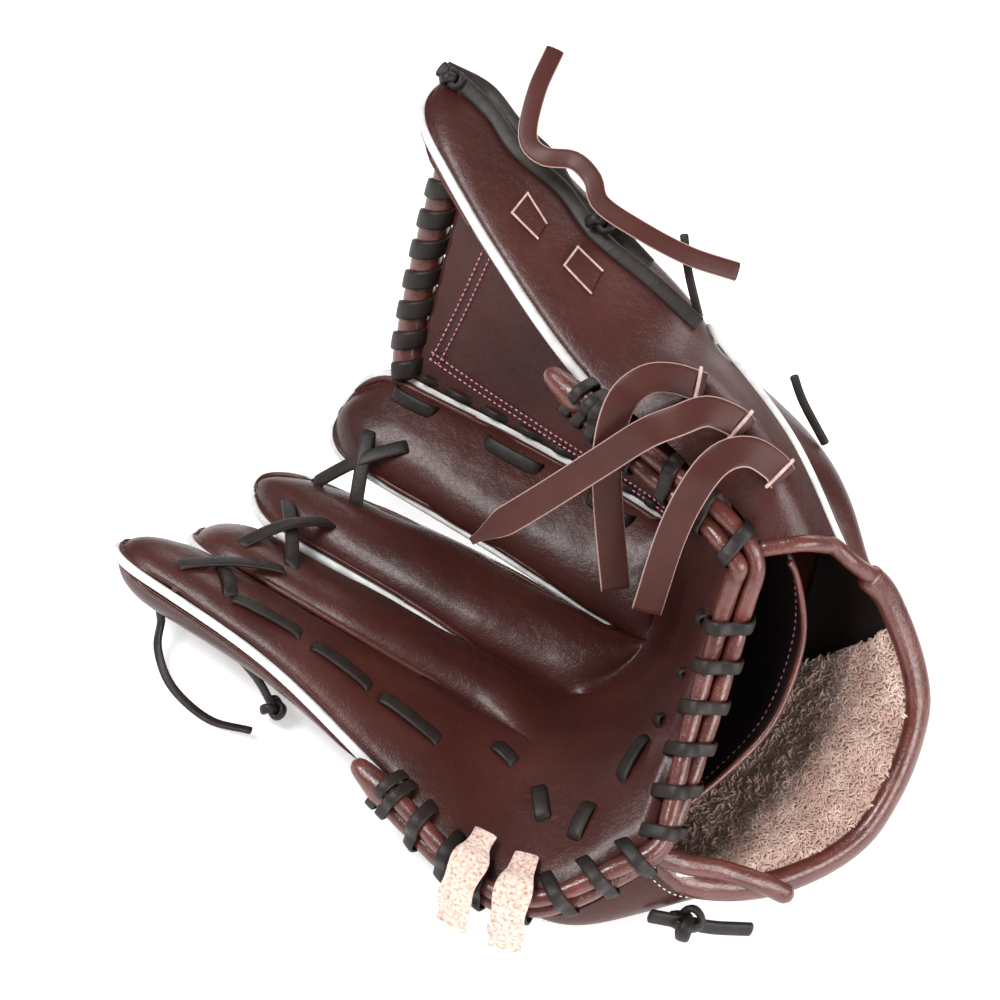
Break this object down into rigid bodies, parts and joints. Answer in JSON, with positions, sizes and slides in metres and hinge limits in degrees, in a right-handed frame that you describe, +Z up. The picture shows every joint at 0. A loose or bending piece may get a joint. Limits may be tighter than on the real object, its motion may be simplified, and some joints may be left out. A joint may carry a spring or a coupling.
{
  "type": "baseball fielder's glove",
  "caption": "Five-finger leather baseball fielder's glove with a closed laced web, deep pocket, laced heel and fleece-lined wrist strap, lying open on its back.",
  "frame": {"origin": "Bottom centre of the glove's bounding box as it lies on a table, without its free lace ends.", "axes": "+Z up from the table; the fingertips and thumb tip lie toward -X, the wrist opening toward +X; -Y is the side into which the pocket opens."},
  "size_m": [0.3583, 0.2938, 0.2509],
  "materials": {
    "shell_leather": "glossy deep red-brown grain leather",
    "lining_leather": "matte dark lining leather",
    "felt_pad": "wool felt",
    "welt": "off-white split leather",
    "lace": "waxed rawhide lace, near black",
    "fleece": "pinkish tan sheepskin pile",
    "suede": "fuzzy pinkish tan suede"
  },
  "bodies": {
    "hand": {"back_fold": "shell_leather", "back_panel": "shell_leather", "heel_lace": "lace", "heel_roll_front": "shell_leather", "heel_roll_inner": "shell_leather", "index_back": "shell_leather", "index_front": "shell_leather", "index_welt": "welt", "middle_back": "shell_leather", "middle_front": "shell_leather", "middle_welt": "welt", "palm_fold": "shell_leather", "palm_lining": "lining_leather", "palm_pad": "felt_pad", "palm_shell": "shell_leather", "pinky_back": "shell_leather", "pinky_front": "shell_leather", "pinky_knob": "shell_leather", "pinky_lace_knot": "lace", "pinky_loop_end_1": "suede", "pinky_loop_end_2": "suede", "pinky_tail_lace": "lace", "pinky_welt": "welt", "ring_back": "shell_leather", "ring_front": "shell_leather", "ring_welt": "welt", "tip_lace_index": "lace", "tip_lace_middle": "lace", "tip_lace_ring": "lace", "web_bar_index": "lace", "web_fold": "shell_leather", "web_index_lace": "lace", "web_index_side": "shell_leather"},
    "thumb_side": {"thumb_front": "shell_leather", "thumb_back": "shell_leather", "thumb_welt": "welt", "thumb_heel_shell": "shell_leather", "thumb_pad": "felt_pad", "thumb_heel_back": "shell_leather", "web_thumb_side": "shell_leather", "web_bar_thumb": "lace", "thumb_roll_front": "shell_leather", "thumb_roll_inner": "shell_leather", "thumb_lace": "lace", "thumb_knob": "shell_leather", "thumb_loop_strap_1": "shell_leather", "thumb_loop_strap_2": "shell_leather", "thumb_loop_strap_3": "shell_leather", "thumb_back_lace_1": "lace", "thumb_back_lace_2": "lace", "thumb_tip_knot": "lace", "web_knot": "lace", "curled_lace": "lace", "thumb_tail_1": "lace", "thumb_tail_2": "lace"},
    "wrist_closure": {"wrist_strap": "shell_leather", "strap_fleece": "fleece", "strap_binding": "shell_leather", "wrist_lace": "lace"}
  },
  "joints": [
    {"name": "pocket_fold", "type": "hinge", "parent": "hand", "child": "thumb_side", "pos_m": [-0.0121, 0.0487, 0.1332], "axis": [0.756, -0.6463, 0.1036], "range_deg": [-10, 16], "deforming": ["palm_fold", "web_fold", "back_fold", "thumb_loop_strap_1", "thumb_loop_strap_2", "thumb_loop_strap_3"]},
    {"name": "strap_fit", "type": "hinge", "parent": "hand", "child": "wrist_closure", "pos_m": [0.0935, -0.0473, 0.0932], "axis": [-0.2519, -0.7457, -0.6168], "range_deg": [0, 6]}
  ]
}
